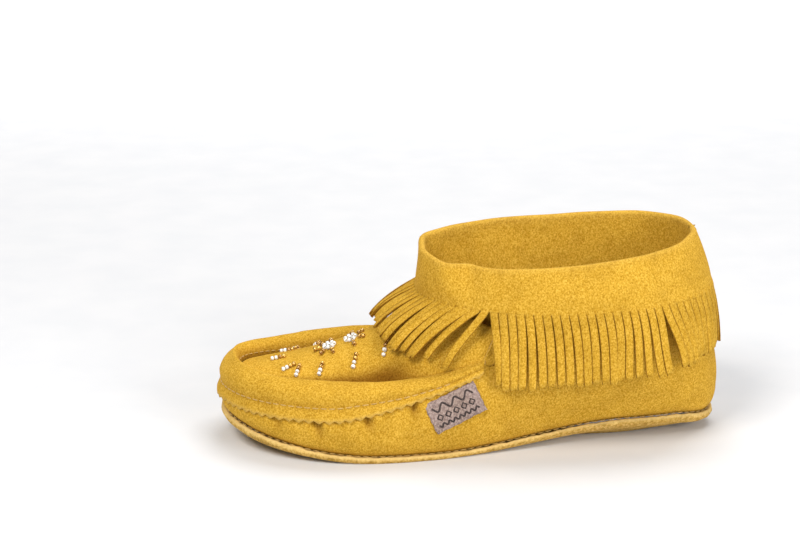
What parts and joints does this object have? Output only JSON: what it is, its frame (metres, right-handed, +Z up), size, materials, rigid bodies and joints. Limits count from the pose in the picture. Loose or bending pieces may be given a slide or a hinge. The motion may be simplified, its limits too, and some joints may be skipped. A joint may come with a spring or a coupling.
{
  "type": "moccasin",
  "caption": "Fleece-lined suede ankle moccasin with a rolled forefoot rim, beaded domed plug, folded cuff and cut fringe.",
  "frame": {"origin": "on the floor under the middle of the whole shoe's bounding box", "axes": "+X from the toe to the heel, -Y towards the outer side of the foot, +Z up"},
  "size_m": [0.2539, 0.102, 0.1011],
  "materials": {
    "suede": "golden suede, fine nap",
    "sole_suede": "golden suede, coarse nap",
    "label_suede": "mauve-grey suede",
    "fleece": "white pile",
    "foam": "closed-cell foam",
    "thread": "golden thread",
    "white_glass": "pearl seed beads",
    "gold_glass": "amber-gold seed beads"
  },
  "bodies": {
    "shoe": {"outsole": "sole_suede", "midsole_foam": "foam", "fleece_footbed": "fleece", "side_upper": "suede", "fleece_lining": "fleece", "heel_welt": "suede", "rim_band": "suede", "rim_filler": "suede", "vamp_plug": "suede", "vamp_lining": "fleece", "cuff_band": "suede", "collar_facing": "suede", "label_tab": "label_suede", "white_beads": "white_glass", "gold_beads": "gold_glass", "rim_stitching": "thread", "plug_seam_thread": "thread", "sole_seam_thread": "thread", "cuff_seam_thread": "thread"},
    "fringe_outer_1": {"fringe_outer_1": "suede"},
    "fringe_outer_2": {"fringe_outer_2": "suede"},
    "fringe_outer_3": {"fringe_outer_3": "suede"},
    "fringe_outer_4": {"fringe_outer_4": "suede"},
    "fringe_outer_5": {"fringe_outer_5": "suede"},
    "fringe_outer_6": {"fringe_outer_6": "suede"},
    "fringe_front": {"fringe_front": "suede"},
    "fringe_inner_6": {"fringe_inner_6": "suede"},
    "fringe_inner_5": {"fringe_inner_5": "suede"},
    "fringe_inner_4": {"fringe_inner_4": "suede"},
    "fringe_inner_3": {"fringe_inner_3": "suede"},
    "fringe_inner_2": {"fringe_inner_2": "suede"},
    "fringe_inner_1": {"fringe_inner_1": "suede"}
  },
  "joints": [
    {"name": "swing_outer_1", "type": "hinge", "parent": "shoe", "child": "fringe_outer_1", "pos_m": [0.11732, -0.01408, 0.07198], "axis": [-0.3798, -0.925, 0.0105], "range_deg": [0, 75]},
    {"name": "swing_outer_2", "type": "hinge", "parent": "shoe", "child": "fringe_outer_2", "pos_m": [0.09728, -0.03394, 0.07092], "axis": [-0.8858, -0.4639, -0.0085], "range_deg": [0, 75]},
    {"name": "swing_outer_3", "type": "hinge", "parent": "shoe", "child": "fringe_outer_3", "pos_m": [0.06942, -0.04197, 0.06979], "axis": [-0.989, -0.1384, -0.0515], "range_deg": [0, 75]},
    {"name": "swing_outer_4", "type": "hinge", "parent": "shoe", "child": "fringe_outer_4", "pos_m": [0.04018, -0.04317, 0.06928], "axis": [-0.9933, 0.0352, -0.1101], "range_deg": [0, 75]},
    {"name": "swing_outer_5", "type": "hinge", "parent": "shoe", "child": "fringe_outer_5", "pos_m": [0.01126, -0.03936, 0.06989], "axis": [-0.9637, 0.2659, 0.0237], "range_deg": [0, 75]},
    {"name": "swing_outer_6", "type": "hinge", "parent": "shoe", "child": "fringe_outer_6", "pos_m": [-0.01435, -0.02653, 0.07249], "axis": [-0.5742, 0.5398, 0.6155], "range_deg": [0, 60]},
    {"name": "swing_front", "type": "hinge", "parent": "shoe", "child": "fringe_front", "pos_m": [-0.02574, -0.00121, 0.07502], "axis": [-0.0261, 0.9992, 0.0308], "range_deg": [0, 60]},
    {"name": "swing_inner_6", "type": "hinge", "parent": "shoe", "child": "fringe_inner_6", "pos_m": [-0.01545, 0.02456, 0.07427], "axis": [0.5658, 0.5554, -0.6094], "range_deg": [0, 60]},
    {"name": "swing_inner_5", "type": "hinge", "parent": "shoe", "child": "fringe_inner_5", "pos_m": [0.01011, 0.0376, 0.0726], "axis": [0.9604, 0.2692, -0.0717], "range_deg": [0, 75]},
    {"name": "swing_inner_4", "type": "hinge", "parent": "shoe", "child": "fringe_inner_4", "pos_m": [0.03903, 0.04154, 0.07226], "axis": [0.9914, 0.0398, 0.1246], "range_deg": [0, 75]},
    {"name": "swing_inner_3", "type": "hinge", "parent": "shoe", "child": "fringe_inner_3", "pos_m": [0.06828, 0.04056, 0.07265], "axis": [0.9903, -0.1246, 0.0611], "range_deg": [0, 75]},
    {"name": "swing_inner_2", "type": "hinge", "parent": "shoe", "child": "fringe_inner_2", "pos_m": [0.09636, 0.03313, 0.07315], "axis": [0.8997, -0.4363, 0.0146], "range_deg": [0, 75]},
    {"name": "swing_inner_1", "type": "hinge", "parent": "shoe", "child": "fringe_inner_1", "pos_m": [0.11712, 0.01401, 0.07281], "axis": [0.4038, -0.9148, -0.0078], "range_deg": [0, 75]}
  ]
}
